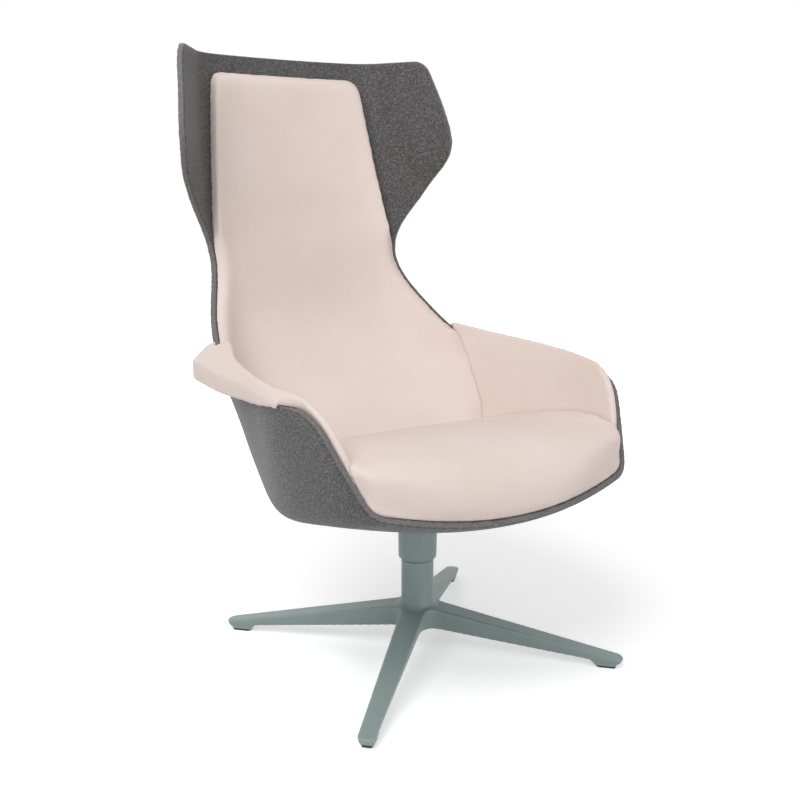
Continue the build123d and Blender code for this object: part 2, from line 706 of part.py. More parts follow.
with BuildPart() as column_screws:
    with BuildSketch(level(screw_seat)):
        with PolarLocations(sleeve_screw_circle / 2, screw_count, leg_first):
            Circle(screw_head / 2)
        with PolarLocations(spindle_screw_circle / 2, screw_count):
            Circle(screw_head / 2)
    extrude(amount=screw_head_height)
    with BuildSketch(level(screw_seat)):
        with PolarLocations(sleeve_screw_circle / 2, screw_count, leg_first):
            Circle(screw_diameter / 2)
        with PolarLocations(spindle_screw_circle / 2, screw_count):
            Circle(screw_diameter / 2)
    extrude(amount=-screw_length)

save(seat_bolts.part, "seat_bolts")
save(washers.part, "seat_bolt_washers")
save(tee_nuts.part, "tee_nuts")
save(column_screws.part, "column_screws")

# ---------------------------------------------------------------- sleeve and spindle
sleeve_bottom = base_column_top + sleeve_gap
rim_level = sleeve_bottom + sleeve_chamfer
sleeve_rings = [(sleeve_bottom, sleeve_foot), (rim_level, sleeve_rim), (plate_bottom, sleeve_diameter)]

with BuildPart() as column_sleeve:
    for (low, lower_width), (high, upper_width) in zip(sleeve_rings, sleeve_rings[1:]):
        with BuildSketch(level(low)):
            Circle(lower_width / 2)
        with BuildSketch(level(high)):
            Circle(upper_width / 2)
        loft()
    with BuildSketch(level(sleeve_bottom)):
        Circle(sleeve_bore / 2)
    extrude(amount=plate_bottom - sleeve_bottom, mode=Mode.SUBTRACT)
    with BuildSketch(level(plate_bottom)):
        with PolarLocations(sleeve_screw_circle / 2, screw_count, leg_first):
            Circle(screw_diameter / 2)
    extrude(amount=-screw_length, mode=Mode.SUBTRACT)

retainer_bottom = recess_top - bush_flange - bearing_play - retainer

with BuildPart() as spindle:
    with BuildSketch(level(spindle_bottom)):
        Circle(spindle_diameter / 2)
    extrude(amount=plate_bottom - spindle_bottom)
    with BuildSketch(level(plate_bottom)):
        Circle(spindle_flange / 2)
    extrude(amount=-spindle_flange_thickness)
    with BuildSketch(level(retainer_bottom)):
        Circle(spindle_diameter / 2)
        Circle(spindle_diameter / 2 - groove_depth, mode=Mode.SUBTRACT)
    extrude(amount=-circlip, mode=Mode.SUBTRACT)
    with BuildSketch(level(plate_bottom)):
        with PolarLocations(spindle_screw_circle / 2, screw_count):
            Circle(screw_diameter / 2)
    extrude(amount=-spindle_flange_thickness, mode=Mode.SUBTRACT)

save(column_sleeve.part, "column_sleeve")
save(spindle.part, "spindle")

# ---------------------------------------------------------------- bearing, bushes, retainer, cap
race_level = spigot_top + race + ball + bearing_play

with BuildPart() as lower_race:
    with BuildSketch(level(spigot_top)):
        Circle(race_diameter / 2)
        Circle(column_bore / 2, mode=Mode.SUBTRACT)
    extrude(amount=race)

with BuildPart() as upper_race:
    with BuildSketch(level(race_level)):
        Circle(race_diameter / 2)
        Circle(spindle_diameter / 2, mode=Mode.SUBTRACT)
    extrude(amount=race)

with BuildPart() as bearing_balls:
    with Locations(level(spigot_top + race + ball / 2)):
        with PolarLocations(ball_circle / 2, ball_count):
            Sphere(ball / 2)

with BuildPart() as ball_cage:
    with BuildSketch(level(spigot_top + race + (ball - cage) / 2)):
        Circle(cage_diameter / 2)
        Circle(cage_bore / 2, mode=Mode.SUBTRACT)
        with PolarLocations(ball_circle / 2, ball_count):
            Circle(ball_pocket / 2, mode=Mode.SUBTRACT)
    extrude(amount=cage)

with BuildPart() as upper_bush:
    with BuildSketch(level(spigot_top)):
        Circle(column_bore / 2)
        Circle(spindle_diameter / 2 + running_fit, mode=Mode.SUBTRACT)
    extrude(amount=-bush_length)

with BuildPart() as lower_bush:
    with BuildSketch(level(recess_top)):
        Circle(column_bore / 2)
        Circle(spindle_diameter / 2 + running_fit, mode=Mode.SUBTRACT)
    extrude(amount=bush_length)
    with BuildSketch(level(recess_top)):
        Circle(bush_flange_diameter / 2)
        Circle(spindle_diameter / 2 + running_fit, mode=Mode.SUBTRACT)
    extrude(amount=-bush_flange)

with BuildPart() as retaining_washer:
    with BuildSketch(level(retainer_bottom)):
        Circle(retainer_diameter / 2)
        Circle(spindle_diameter / 2 + running_fit, mode=Mode.SUBTRACT)
    extrude(amount=retainer)

with BuildPart() as circlip_ring:
    with BuildSketch(level(retainer_bottom)):
        Circle(circlip_diameter / 2)
        Circle(spindle_diameter / 2 - groove_depth, mode=Mode.SUBTRACT)
        with Locations((circlip_diameter / 2, 0)):
            Rectangle(circlip_diameter / 2, circlip_opening, mode=Mode.SUBTRACT)
    extrude(amount=-circlip)

with BuildPart() as hub_cap:
    with BuildSketch(level(hub_bottom)):
        Circle(recess_diameter / 2)
    extrude(amount=cap)

save(lower_race.part, "lower_race")
save(upper_race.part, "upper_race")
save(bearing_balls.part, "bearing_balls")
save(ball_cage.part, "ball_cage")
save(upper_bush.part, "upper_bush")
save(lower_bush.part, "lower_bush")
save(retaining_washer.part, "retaining_washer")
save(circlip_ring.part, "circlip")
save(hub_cap.part, "hub_cap")

# ---------------------------------------------------------------- star base and glides
foot_middle = (foot_start + foot_end) / 2
spread = (leg_top_root - leg_top_tip) * tan(radians(leg_draft))   # how far the draft widens the plan
leg_top = Plane(origin=(0, swivel_y, leg_top_root), x_dir=(1, 0, 0), z_dir=(0, 0, -1))

with BuildPart() as star_base:
    with BuildSketch(leg_top) as star:
        with PolarLocations(0, leg_count, leg_first):
            Polygon((0, -leg_root_width / 2), (leg_tip + spread, -leg_tip_width / 2 - spread),
                    (leg_tip + spread, leg_tip_width / 2 + spread), (0, leg_root_width / 2), align=None)
        fillet(star.vertices().sort_by_distance((0, 0, 0))[:leg_count], radius=crotch)
        fillet(star.vertices().sort_by_distance((0, 0, 0))[-2 * leg_count:], radius=leg_nose + spread)
    extrude(amount=leg_top_root, taper=leg_draft)
    add(leg_block(leg_top_root, leg_top_tip), mode=Mode.INTERSECT)
    add(leg_block(leg_under_root, leg_under_tip), mode=Mode.SUBTRACT)
    tops = star_base.faces().filter_by(lambda face: face.normal_at().Z > 0.9)
    # the valleys between two top faces stay sharp, they end inside the column's flare
    fillet([e for e in tops.edges() if from_swivel(e @ 0.5) > flare_foot[0]], radius=leg_edge)
    for index in range(leg_count):
        with BuildSketch(leg_plane(index)):
            Polygon((foot_start - foot_run, foot_top), (foot_start, glide), (foot_end, glide),
                    (foot_end, foot_top), align=None)
        extrude(amount=foot_width / 2, both=True)
        with BuildSketch(leg_plane(index)):
            Polygon((foot_end, 0), (foot_end + foot_trim, 0), (foot_end + foot_trim, nose_top),
                    (leg_tip, nose_top), (foot_end, glide), align=None)
        extrude(amount=foot_trim, both=True, mode=Mode.SUBTRACT)
    with BuildSketch(side):
        with BuildLine():
            RadiusArc(flare_foot, (base_column / 2, flare_top), flare_round)
            Polyline((base_column / 2, flare_top), (0, flare_top), (0, flare_foot[1]), flare_foot)
        make_face()
    revolve(axis=swivel)
    with BuildSketch(level(hub_bottom)):
        Circle(base_column / 2)
    extrude(amount=base_column_top - hub_bottom)
    with BuildSketch(level(base_column_top)):
        Circle(spigot / 2)
    extrude(amount=spigot_top - base_column_top)
    with BuildSketch(level(hub_bottom)):
        Circle(column_bore / 2)
    extrude(amount=spigot_top - hub_bottom, mode=Mode.SUBTRACT)
    with BuildSketch(level(hub_bottom)):
        Circle(recess_diameter / 2)
    extrude(amount=recess_top - hub_bottom, mode=Mode.SUBTRACT)
    with BuildSketch(level(glide)):
        with PolarLocations(foot_middle, leg_count, leg_first):
            Circle(glide_stem / 2)
    extrude(amount=glide_stem_length, mode=Mode.SUBTRACT)

save(star_base.part, "star_base")

for index in range(leg_count):
    with BuildPart() as glide_pad:
        with BuildSketch(level(0)):
            with PolarLocations(foot_middle, 1, leg_first + index * 360 / leg_count):
                RectangleRounded(glide_length, glide_width, glide_corner)
        extrude(amount=glide)
        with BuildSketch(level(glide)):
            with PolarLocations(foot_middle, 1, leg_first + index * 360 / leg_count):
                Circle(glide_stem / 2)
        extrude(amount=glide_stem_length)
    save(glide_pad.part, f"glide_{index + 1}")
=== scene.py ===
import json
from math import pi, radians

import bmesh
import bpy
import numpy as np
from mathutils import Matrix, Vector
from mathutils.bvhtree import BVHTree
from mathutils.interpolate import poly_3d_calc


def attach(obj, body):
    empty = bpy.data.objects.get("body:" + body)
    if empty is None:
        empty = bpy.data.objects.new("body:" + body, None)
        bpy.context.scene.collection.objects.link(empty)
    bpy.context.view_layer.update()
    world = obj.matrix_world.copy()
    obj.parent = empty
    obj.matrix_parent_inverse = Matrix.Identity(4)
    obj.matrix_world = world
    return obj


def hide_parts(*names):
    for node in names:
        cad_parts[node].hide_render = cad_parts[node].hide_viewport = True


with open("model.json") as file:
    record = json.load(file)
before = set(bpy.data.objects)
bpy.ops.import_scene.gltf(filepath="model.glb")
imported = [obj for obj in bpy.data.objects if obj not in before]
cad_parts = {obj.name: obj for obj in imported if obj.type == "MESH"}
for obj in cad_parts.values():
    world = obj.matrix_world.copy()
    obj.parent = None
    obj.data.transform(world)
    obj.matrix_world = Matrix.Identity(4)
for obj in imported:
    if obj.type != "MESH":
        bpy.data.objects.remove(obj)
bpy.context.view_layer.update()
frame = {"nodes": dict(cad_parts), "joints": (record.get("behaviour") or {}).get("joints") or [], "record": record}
swivelY = frame["joints"][0]["pos_m"][1]
mm = 0.001
print("frame loaded,", len(frame["nodes"]), "nodes")


# colours and nodes

def linear(hexColour):
    # sRGB hex to linear RGBA
    values = [int(hexColour[i:i + 2], 16) / 255 for i in (1, 3, 5)]
    return [v / 12.92 if v <= 0.04045 else ((v + 0.055) / 1.055) ** 2.4 for v in values] + [1]


def addNode(owner, kind, inputs=None, out=0, **settings):
    # an input is a value, or the output socket that feeds it; one output socket is given back
    node = owner.node_tree.nodes.new("ShaderNode" + kind)
    for name, value in settings.items():
        setattr(node, name, value)
    for socket, value in (inputs or {}).items():
        if isinstance(value, bpy.types.NodeSocket):
            owner.node_tree.links.new(value, node.inputs[socket])
        else:
            node.inputs[socket].default_value = value
    return node.outputs[out] if node.outputs else node


def newMaterial(name):
    material = bpy.data.materials.new(name)
    material.use_nodes = True
    material.node_tree.nodes.clear()
    return material, addNode(material, "TexCoord", out="Object")


def finishMaterial(material, values):
    surface = addNode(material, "BsdfPrincipled", values)
    addNode(material, "OutputMaterial", {"Surface": surface})
    return material


# a mix of two colours: its sockets by number, because their names repeat, and its settings
mixShare, mixFirst, mixSecond = 0, 6, 7
colourMix = {"out": 2, "data_type": "RGBA"}
noiseRange = {"From Min": 0.3, "From Max": 0.7}   # most of a noise lies in this range


def perMetre(millimetres):
    # texture scale at which one feature is this wide
    return 1000 / millimetres


# materials

feltFinish = {
    "dark": "#222122", "middle": "#424142", "pale": "#9D9B9B", "cut": "#807E7E",
    "grainMm": 2.4, "grainLow": 0.38, "grainHigh": 0.64, "cloudMm": 22, "cloudShare": 0.3,
    "fibreMm": 1.9, "fibreLengthMm": 9, "fibreLow": 0.6, "fibreHigh": 0.76, "fibreShare": 0.55,
    "cutLow": 0.3, "cutHigh": 0.6, "cutShare": 0.4, "roughness": 0.64,
    # how the layers of fibres are turned
    "layers": ((0.3, 0.2, 0.0), (1.5, 0.9, 0.5), (0.4, 1.5, 1.1), (2.2, 0.5, 2.0), (0.9, 2.6, 2.9)),
}


def makeFelt():
    # needled and hot pressed mixed fibres: matt and mottled, dark ground with pale stray fibres.
    # Real fibres are 0.03 mm thick; they are drawn as bundles some 2 mm wide, so that they show
    f = feltFinish
    felt, place = newMaterial("pressedMelangeFelt")
    grain = addNode(felt, "TexNoise", {
        "Vector": place, "Scale": perMetre(f["grainMm"]), "Detail": 4, "Roughness": 0.7})
    cloud = addNode(felt, "TexNoise", {
        "Vector": place, "Scale": perMetre(f["cloudMm"]), "Detail": 3})
    strands = 0.0
    for turn in f["layers"]:
        laid = addNode(felt, "Mapping", {
            "Vector": place, "Rotation": turn, "Scale": (1, 1, f["fibreLengthMm"] / f["fibreMm"]),
        }, vector_type="TEXTURE")
        fibre = addNode(felt, "TexNoise", {
            "Vector": laid, "Scale": perMetre(f["fibreMm"]), "Detail": 1})
        strand = addNode(felt, "MapRange", {
            "Value": fibre, "From Min": f["fibreLow"], "From Max": f["fibreHigh"]})
        strands = addNode(felt, "Math", {0: strands, 1: strand}, operation="MAXIMUM")
    ground = addNode(felt, "Mix", {
        mixShare: addNode(felt, "MapRange", {
            "Value": grain, "From Min": f["grainLow"], "From Max": f["grainHigh"]}),
        mixFirst: linear(f["dark"]), mixSecond: linear(f["middle"]),
    }, **colourMix)
    toned = addNode(felt, "Mix", {
        mixShare: addNode(felt, "MapRange", {
            "Value": cloud, **noiseRange, "To Max": f["cloudShare"]}),
        mixFirst: ground, mixSecond: linear(f["middle"]),
    }, **colourMix)
    streaked = addNode(felt, "Mix", {
        mixShare: addNode(felt, "Math", {0: strands, 1: f["fibreShare"]}, operation="MULTIPLY"),
        mixFirst: toned, mixSecond: linear(f["pale"]),
    }, **colourMix)
    edge = addNode(felt, "MapRange", {
        "Value": addNode(felt, "Attribute", out="Fac", attribute_name="cutEdge"),
        "From Min": f["cutLow"], "From Max": f["cutHigh"], "To Max": f["cutShare"]})
    colour = addNode(felt, "Mix", {
        mixShare: edge, mixFirst: streaked, mixSecond: linear(f["cut"]),
    }, **colourMix)
    height = addNode(felt, "Math", {0: grain, 1: strands}, operation="ADD")
    return finishMaterial(felt, {
        "Base Color": colour, "Roughness": f["roughness"], "IOR": 1.5, "Specular IOR Level": 0.4,
        "Sheen Weight": 0.25, "Sheen Roughness": 0.5, "Sheen Tint": linear("#C8C8C8"),
        "Normal": addNode(felt, "Bump", {"Height": height, "Strength": 0.4, "Distance": 0.5 * mm}),
    })


clothFinish = {
    "light": "#E4D6CF", "shade": "#DACAC2", "yarnMm": 1.9, "slubMm": 5, "cloudMm": 140,
    "weaveShare": 0.25, "toneLow": 0.5, "toneHigh": 1.6, "roughness": 0.85,
}


def makeCloth():
    # fine plain woven wool mix, blush dyed in the piece: soft and even, with a faint thread grid.
    # Real yarn stands every 0.7 mm; it is drawn every 1.9 mm so that it shows
    f = clothFinish
    cloth, place = newMaterial("wovenBlushWool")
    facing = addNode(cloth, "NewGeometry", out="Normal")
    waves, shares = [], []
    for axis in "XYZ":
        along = addNode(cloth, "SeparateXYZ", {"Vector": place}, out=axis)
        turns = addNode(cloth, "Math", {
            0: along, 1: 2 * pi * perMetre(f["yarnMm"])}, operation="MULTIPLY")
        waves.append(addNode(cloth, "Math", {0: turns}, operation="SINE"))
        faced = addNode(cloth, "SeparateXYZ", {"Vector": facing}, out=axis)
        shares.append(addNode(cloth, "Math", {0: faced, 1: faced}, operation="MULTIPLY"))
    weave = 0.0
    for across, warp, weft in ((0, 1, 2), (1, 0, 2), (2, 0, 1)):
        crossing = addNode(cloth, "Math", {0: waves[warp], 1: waves[weft]}, operation="MULTIPLY")
        weave = addNode(cloth, "Math", {
            0: crossing, 1: shares[across], 2: weave}, operation="MULTIPLY_ADD")
    slub = addNode(cloth, "TexNoise", {
        "Vector": place, "Scale": perMetre(f["slubMm"]), "Detail": 3, "Roughness": 0.6})
    cloud = addNode(cloth, "TexNoise", {
        "Vector": place, "Scale": perMetre(f["cloudMm"]), "Detail": 1})
    both = addNode(cloth, "Math", {0: slub, 1: cloud}, operation="ADD")
    tone = addNode(cloth, "Math", {
        0: weave, 1: f["weaveShare"], 2: both}, operation="MULTIPLY_ADD")
    colour = addNode(cloth, "Mix", {
        mixShare: addNode(cloth, "MapRange", {
            "Value": tone, "From Min": f["toneLow"], "From Max": f["toneHigh"]}),
        mixFirst: linear(f["shade"]), mixSecond: linear(f["light"]),
    }, **colourMix)
    soft = addNode(cloth, "Bump", {"Height": slub, "Strength": 0.2, "Distance": 0.5 * mm})
    return finishMaterial(cloth, {
        "Base Color": colour, "Roughness": f["roughness"], "IOR": 1.5, "Specular IOR Level": 0.2,
        "Sheen Weight": 0.2, "Sheen Roughness": 0.45, "Sheen Tint": linear("#F3E9E3"),
        "Normal": addNode(cloth, "Bump", {
            "Height": weave, "Strength": 0.25, "Distance": 0.25 * mm, "Normal": soft}),
    })


paintFinish = {
    "colour": "#879894", "worn": "#94A39E", "wornMm": 45, "wornShare": 0.25,
    "peelMm": 1.6, "roughness": 0.46, "roughSpread": 0.05,
}


def makePaint():
    # satin powder coat on cast aluminium, stoved: even sage grey with a faint orange peel,
    # drawn at 1.6 mm, about twice its real size
    f = paintFinish
    paint, place = newMaterial("satinPowderCoat")
    peel = addNode(paint, "TexNoise", {"Vector": place, "Scale": perMetre(f["peelMm"])})
    cloud = addNode(paint, "TexNoise", {"Vector": place, "Scale": perMetre(f["wornMm"])})
    colour = addNode(paint, "Mix", {
        mixShare: addNode(paint, "MapRange", {
            "Value": cloud, **noiseRange, "To Max": f["wornShare"]}),
        mixFirst: linear(f["colour"]), mixSecond: linear(f["worn"]),
    }, **colourMix)
    rough = addNode(paint, "MapRange", {
        "Value": peel, **noiseRange,
        "To Min": f["roughness"] - f["roughSpread"], "To Max": f["roughness"] + f["roughSpread"]})
    return finishMaterial(paint, {
        "Base Color": colour, "Roughness": rough, "IOR": 1.5,
        "Normal": addNode(paint, "Bump", {"Height": peel, "Strength": 0.12, "Distance": 0.2 * mm}),
    })


mouldedFinish = {"pale": "#8A8A86", "paleShare": 0.2, "roughSpread": 0.08}


def makeMoulded(name, colour, roughness, grainMm):
    # moulded plastic: matt skin with the fine spark-eroded grain of the tool
    f = mouldedFinish
    plastic, place = newMaterial(name)
    grain = addNode(plastic, "TexNoise", {"Vector": place, "Scale": perMetre(grainMm), "Detail": 3})
    tint = addNode(plastic, "Mix", {
        mixShare: addNode(plastic, "MapRange", {
            "Value": grain, **noiseRange, "To Max": f["paleShare"]}),
        mixFirst: linear(colour), mixSecond: linear(f["pale"]),
    }, **colourMix)
    rough = addNode(plastic, "MapRange", {
        "Value": grain, **noiseRange,
        "To Min": roughness - f["roughSpread"], "To Max": roughness + f["roughSpread"]})
    return finishMaterial(plastic, {
        "Base Color": tint, "Roughness": rough, "IOR": 1.46,
        "Normal": addNode(plastic, "Bump", {"Height": grain, "Strength": 0.2, "Distance": 0.15 * mm}),
    })


steelFinish = {"dull": "#8D9093", "dullShare": 0.35, "smoother": 0.08, "rougher": 0.1}


def makeSteel(name, colour, roughness, markMm, stretch):
    # bare or zinc plated steel: metal with fine turning or grinding marks
    f = steelFinish
    steel, place = newMaterial(name)
    along = addNode(steel, "Mapping", {"Vector": place, "Scale": (1, 1, stretch)})
    marks = addNode(steel, "TexNoise", {"Vector": along, "Scale": perMetre(markMm), "Detail": 3})
    tint = addNode(steel, "Mix", {
        mixShare: addNode(steel, "MapRange", {
            "Value": marks, **noiseRange, "To Max": f["dullShare"]}),
        mixFirst: linear(colour), mixSecond: linear(f["dull"]),
    }, **colourMix)
    rough = addNode(steel, "MapRange", {
        "Value": marks, **noiseRange,
        "To Min": roughness - f["smoother"], "To Max": roughness + f["rougher"]})
    return finishMaterial(steel, {
        "Base Color": tint, "Metallic": 1.0, "Roughness": rough,
        "Normal": addNode(steel, "Bump", {"Height": marks, "Strength": 0.15, "Distance": 0.1 * mm}),
    })


castingFinish = {
    "dark": "#1F2021", "pale": "#38393A", "sandMm": 1.8, "sandLow": 0.35, "sandHigh": 0.7,
    "smoothest": 0.5, "roughest": 0.68,
}


def makeCasting():
    # sand cast aluminium plate, black dip coated: grainy, half matt
    f = castingFinish
    casting, place = newMaterial("coatedCasting")
    sand = addNode(casting, "TexNoise", {
        "Vector": place, "Scale": perMetre(f["sandMm"]), "Detail": 4, "Roughness": 0.6})
    tint = addNode(casting, "Mix", {
        mixShare: addNode(casting, "MapRange", {
            "Value": sand, "From Min": f["sandLow"], "From Max": f["sandHigh"]}),
        mixFirst: linear(f["dark"]), mixSecond: linear(f["pale"]),
    }, **colourMix)
    rough = addNode(casting, "MapRange", {
        "Value": sand, **noiseRange,
        "To Min": f["smoothest"], "To Max": f["roughest"]})
    return finishMaterial(casting, {
        "Base Color": tint, "Roughness": rough, "IOR": 1.5,
        "Normal": addNode(casting, "Bump", {"Height": sand, "Strength": 0.4, "Distance": 0.4 * mm}),
    })


plywoodFinish = {
    "early": "#D9BE94", "late": "#B98F5C", "flame": "#E4CDA6", "grainMm": 3, "flameMm": 18,
    "grainLow": 0.35, "grainHigh": 0.65, "flameShare": 0.35, "shrink": 0.06, "roughness": 0.62,
}


def makePlywood():
    # moulded birch plywood, sanded: pale wood with long grain across the chair, which comes from
    # shrinking the place along x
    f = plywoodFinish
    wood, place = newMaterial("birchPlywood")
    along = addNode(wood, "Mapping", {"Vector": place, "Scale": (f["shrink"], 1, 1)})
    grain = addNode(wood, "TexNoise", {
        "Vector": along, "Scale": perMetre(f["grainMm"]), "Detail": 4, "Roughness": 0.6})
    flame = addNode(wood, "TexNoise", {"Vector": along, "Scale": perMetre(f["flameMm"])})
    tint = addNode(wood, "Mix", {
        mixShare: addNode(wood, "MapRange", {
            "Value": grain, "From Min": f["grainLow"], "From Max": f["grainHigh"]}),
        mixFirst: linear(f["early"]), mixSecond: linear(f["late"]),
    }, **colourMix)
    toned = addNode(wood, "Mix", {
        mixShare: addNode(wood, "MapRange", {
            "Value": flame, **noiseRange, "To Max": f["flameShare"]}),
        mixFirst: tint, mixSecond: linear(f["flame"]),
    }, **colourMix)
    return finishMaterial(wood, {
        "Base Color": toned, "Roughness": f["roughness"], "IOR": 1.5,
        "Normal": addNode(wood, "Bump", {"Height": grain, "Strength": 0.3, "Distance": 0.2 * mm}),
    })


materials = {
    "felt": makeFelt(),
    "upholstery": makeCloth(),
    "base_paint": makePaint(),
    "glide_plastic": makeMoulded("blackNylon", "#1E1E1F", roughness=0.6, grainMm=1.2),
    "bush_plastic": makeMoulded("naturalAcetal", "#DAD7CC", roughness=0.4, grainMm=1.5),
    "bearing_steel": makeSteel("groundSteel", "#A9ABAD", roughness=0.28, markMm=0.8, stretch=8),
    "zinc_steel": makeSteel("zincPlatedSteel", "#B4B7B9", roughness=0.36, markMm=1.4, stretch=1),
    "cast_plate": makeCasting(),
    "plywood": makePlywood(),
}
slotOf = {row["node"]: row["material_slot"] for row in frame["record"]["subparts"]}
for node, piece in frame["nodes"].items():
    for slot in piece.material_slots:
        slot.material = materials[slotOf[node]]
print("materials made:", len(materials))


# meshes

weldDistance = 0.005 * mm
softenFactor = 0.5   # share of the way to its neighbours' middle that a point goes in one round


def weldedCopy(node, name):
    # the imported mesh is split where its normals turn, so its corners are joined again
    shape = bmesh.new()
    shape.from_mesh(frame["nodes"][node].data)
    bmesh.ops.remove_doubles(shape, verts=shape.verts, dist=weldDistance)
    points = [corner.co.copy() for corner in shape.verts]
    faces = [[corner.index for corner in face.verts] for face in shape.faces]
    shape.free()
    mesh = bpy.data.meshes.new(name)
    mesh.from_pydata(points, [], faces)
    piece = bpy.data.objects.new(name, mesh)
    bpy.context.scene.collection.objects.link(piece)
    return piece


def applyModifiers(piece):
    graph = bpy.context.evaluated_depsgraph_get()
    mesh = bpy.data.meshes.new_from_object(piece.evaluated_get(graph))
    piece.modifiers.clear()
    piece.data = mesh


def remesh(piece, voxel, smoothing):
    skin = piece.modifiers.new("skin", "REMESH")
    skin.mode = "VOXEL"
    skin.voxel_size = voxel
    skin.use_smooth_shade = True
    if smoothing:
        soften = piece.modifiers.new("soften", "SMOOTH")
        soften.factor = softenFactor
        soften.iterations = smoothing
    applyModifiers(piece)


def shadeSmooth(piece):
    for polygon in piece.data.polygons:
        polygon.use_smooth = True


def pointsOf(mesh):
    points = np.empty(len(mesh.vertices) * 3)
    mesh.vertices.foreach_get("co", points)
    return points.reshape(-1, 3)


def normalsOf(mesh):
    normals = np.empty(len(mesh.vertices) * 3)
    mesh.vertices.foreach_get("normal", normals)
    return normals.reshape(-1, 3)


def movePoints(mesh, points):
    mesh.vertices.foreach_set("co", points.ravel())
    mesh.update()


def treeOf(piece):
    return BVHTree.FromPolygons([v.co for v in piece.data.vertices],
                                [list(face.vertices) for face in piece.data.polygons])


def dress(piece, nodes, material, body):
    piece.data.materials.clear()
    piece.data.materials.append(materials[material])
    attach(piece, body)
    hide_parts(*nodes)


def softened(node, name, body, voxel, smoothing):
    # the same shape with the small rounded edges of a cast or moulded piece
    piece = weldedCopy(node, name)
    remesh(piece, voxel, smoothing)
    dress(piece, [node], slotOf[node], body)


# base and column

baseShape = {"voxel": 2.0 * mm, "smoothing": 3}
sleeveShape = {"voxel": 1.5 * mm, "smoothing": 2}
plateShape = {"voxel": 2.0 * mm, "smoothing": 2}
glideShape = {"voxel": 0.8 * mm, "smoothing": 2}

softened("star_base", "starBase", "base", **baseShape)
softened("column_sleeve", "columnSleeve", "seat", **sleeveShape)
softened("seat_plate", "seatPlate", "seat", **plateShape)
for number in range(1, 5):
    softened(f"glide_{number}", f"glide{number}", "base", **glideShape)
print("base and column made")


# felt shell

feltShape = {"voxel": 3.2 * mm, "smoothing": 6, "thickness": 13 * mm, "triangles": 190000}
# as shares of the thickness: where the look behind the surface starts and ends, and from which
# depth and over how much more of it the mark grows
cutEdge = {"start": 0.1, "end": 3, "from": 1.05, "over": 0.4}


def markCutEdge(piece, thickness):
    # a cut edge is where the felt is deeper behind the surface than it is thick
    tree = treeOf(piece)
    points, normals = pointsOf(piece.data), normalsOf(piece.data)
    start = points - normals * thickness * cutEdge["start"]
    farthest = cutEdge["end"] * thickness
    depths = np.empty(len(points))
    for index, (origin, normal) in enumerate(zip(start, normals)):
        hit = tree.ray_cast(Vector(origin), Vector(-normal), farthest)
        depths[index] = hit[3] if hit[0] else farthest
    share = np.clip((depths - thickness * cutEdge["from"]) / (thickness * cutEdge["over"]), 0, 1)
    attribute = piece.data.attributes.new("cutEdge", "FLOAT", "POINT")
    attribute.data.foreach_set("value", share)


feltShell = weldedCopy("felt_shell", "feltShell")
remesh(feltShell, feltShape["voxel"], feltShape["smoothing"])
thinned = feltShell.modifiers.new("thinned", "DECIMATE")
thinned.ratio = min(1, feltShape["triangles"] / (2 * len(feltShell.data.polygons)))
applyModifiers(feltShell)
shadeSmooth(feltShell)
markCutEdge(feltShell, feltShape["thickness"])
dress(feltShell, ["felt_shell"], "felt", "seat")
print("felt shell made,", len(feltShell.data.vertices), "points")


# pads and cushion

# rough and rounds are the smoothing of the whole pad and of what lies free. sink is what the foam
# gives way before the cover's pressure lifts it again, by cap at the most; below zero it stands
# fuller than it was drawn
padding = {
    "backPad": {"node": "back_pad", "voxel": 3.6 * mm, "rough": 8, "rounds": 260,
                "sink": 1.5 * mm, "cap": 2.5 * mm, "fill": 0.8},
    "armPadRight": {"node": "arm_pad_right", "voxel": 2.5 * mm, "rough": 6, "rounds": 12,
                    "sink": -1 * mm, "cap": 1.5 * mm, "fill": 0.8},
    "armPadLeft": {"node": "arm_pad_left", "voxel": 2.5 * mm, "rough": 6, "rounds": 12,
                   "sink": -1 * mm, "cap": 1.5 * mm, "fill": 0.8},
    "seatCushion": {"node": "seat_cushion", "voxel": 3.6 * mm, "rough": 8, "rounds": 120,
                    "sink": 1.5 * mm, "cap": 3 * mm, "fill": 0.7},
}
# a point is held up to held from a neighbour, freed by soft, and lifts in full at reach. facing is
# the least cosine at which a surface faces its neighbour, and lastShare is how much of the last
# smoothing a held point takes
cover = {
    "held": 2.5 * mm, "soft": 9 * mm, "reach": 18 * mm, "clearance": 0.5 * mm, "facing": 0.2,
    "voxel": 11 * mm, "smoothing": 2, "heldCoarse": 5 * mm, "quality": 6, "pressure": 1.2, "frames": 20,
    "lastRounds": 6, "lastShare": 0.3,
}
boards = ["back_board", "back_studs", "arm_board_right", "arm_board_left", "seat_board", "tee_nuts"]
neighbours = {node: treeOf(frame["nodes"][node]) for node in
              ["felt_shell"] + boards + [values["node"] for values in padding.values()]}


def nearness(mesh, node, reach):
    # what the pad lies on: its distance from each point and its nearest spot, which counts only
    # when the surface faces it
    points = pointsOf(mesh)
    distances = np.full(len(points), reach)
    spots = points.copy()
    for other, tree in neighbours.items():
        if other != node:
            for index, point in enumerate(points):
                hit = tree.find_nearest(Vector(point), distances[index])
                if hit[0] is not None:
                    distances[index], spots[index] = hit[3], hit[0]
    ahead = np.sum((spots - points) * normalsOf(mesh), axis=1) > cover["facing"] * distances
    return np.where(ahead | (distances < cover["clearance"]), distances, reach), spots


def eased(distances, low, high):
    share = np.clip((distances - low) / (high - low), 0, 1)
    return share * share * (3 - 2 * share)


